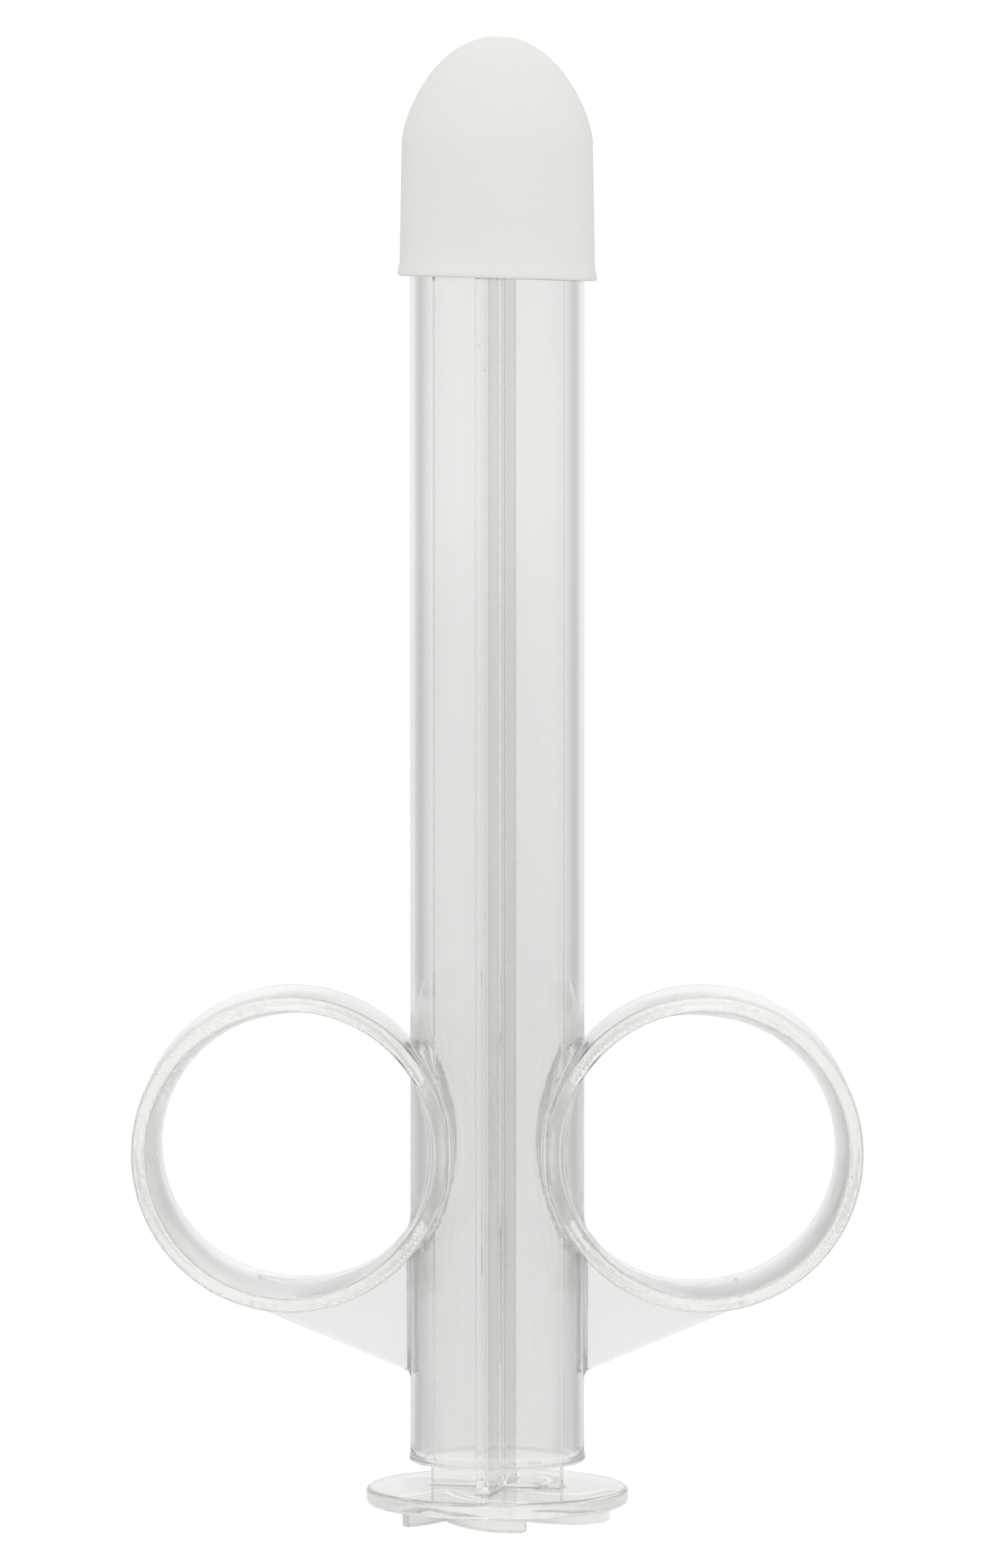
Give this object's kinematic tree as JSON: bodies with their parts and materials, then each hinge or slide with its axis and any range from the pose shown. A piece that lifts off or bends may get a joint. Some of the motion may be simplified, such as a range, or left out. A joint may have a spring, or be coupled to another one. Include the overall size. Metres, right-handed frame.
{
  "type": "plunger applicator syringe",
  "caption": "Clear plastic plunger applicator: tube barrel with finger rings, cross-ribbed plunger with thumb disc, and a frosted domed push-on cap.",
  "frame": {"origin": "on the barrel's axis, in the plane of the grip ribs' undersides, which it stands on", "axes": "+Z along the barrel towards the cap, +X across the finger rings, -Y the front"},
  "size_m": [0.0672, 0.0242, 0.1371],
  "materials": {
    "clear_barrel": "clear, glossy moulded polypropylene",
    "clear_plunger": "clear, glossy moulded polypropylene",
    "soft_seal": "matte, soft, milky",
    "frosted_cap": "frosted, translucent, slightly warm white"
  },
  "bodies": {
    "plunger": {"plunger_stem": "clear_plunger", "thumb_disc": "clear_plunger", "grip_rib_1": "clear_plunger", "grip_rib_2": "clear_plunger", "grip_rib_3": "clear_plunger", "grip_rib_4": "clear_plunger", "grip_rib_5": "clear_plunger", "piston_head": "clear_plunger"},
    "barrel": {"barrel_tube": "clear_barrel", "finger_ring_left": "clear_barrel", "finger_ring_right": "clear_barrel", "ring_web_left": "clear_barrel", "ring_web_right": "clear_barrel"},
    "seal": {"piston_seal": "soft_seal"},
    "cap": {"cap": "frosted_cap"}
  },
  "joints": [
    {"name": "plunger_turn", "type": "hinge", "parent": "plunger", "child": "seal", "pos_m": [0, 0, 0.12], "axis": [0, 0, 1], "continuous": true},
    {"name": "plunger_draw", "type": "slide", "parent": "seal", "child": "barrel", "axis": [0, 0, 1], "range_m": [-0.0024, 0.105]},
    {"name": "cap_pull", "type": "slide", "parent": "barrel", "child": "cap", "axis": [0, 0, 1], "range_m": [0, 0.03]}
  ]
}
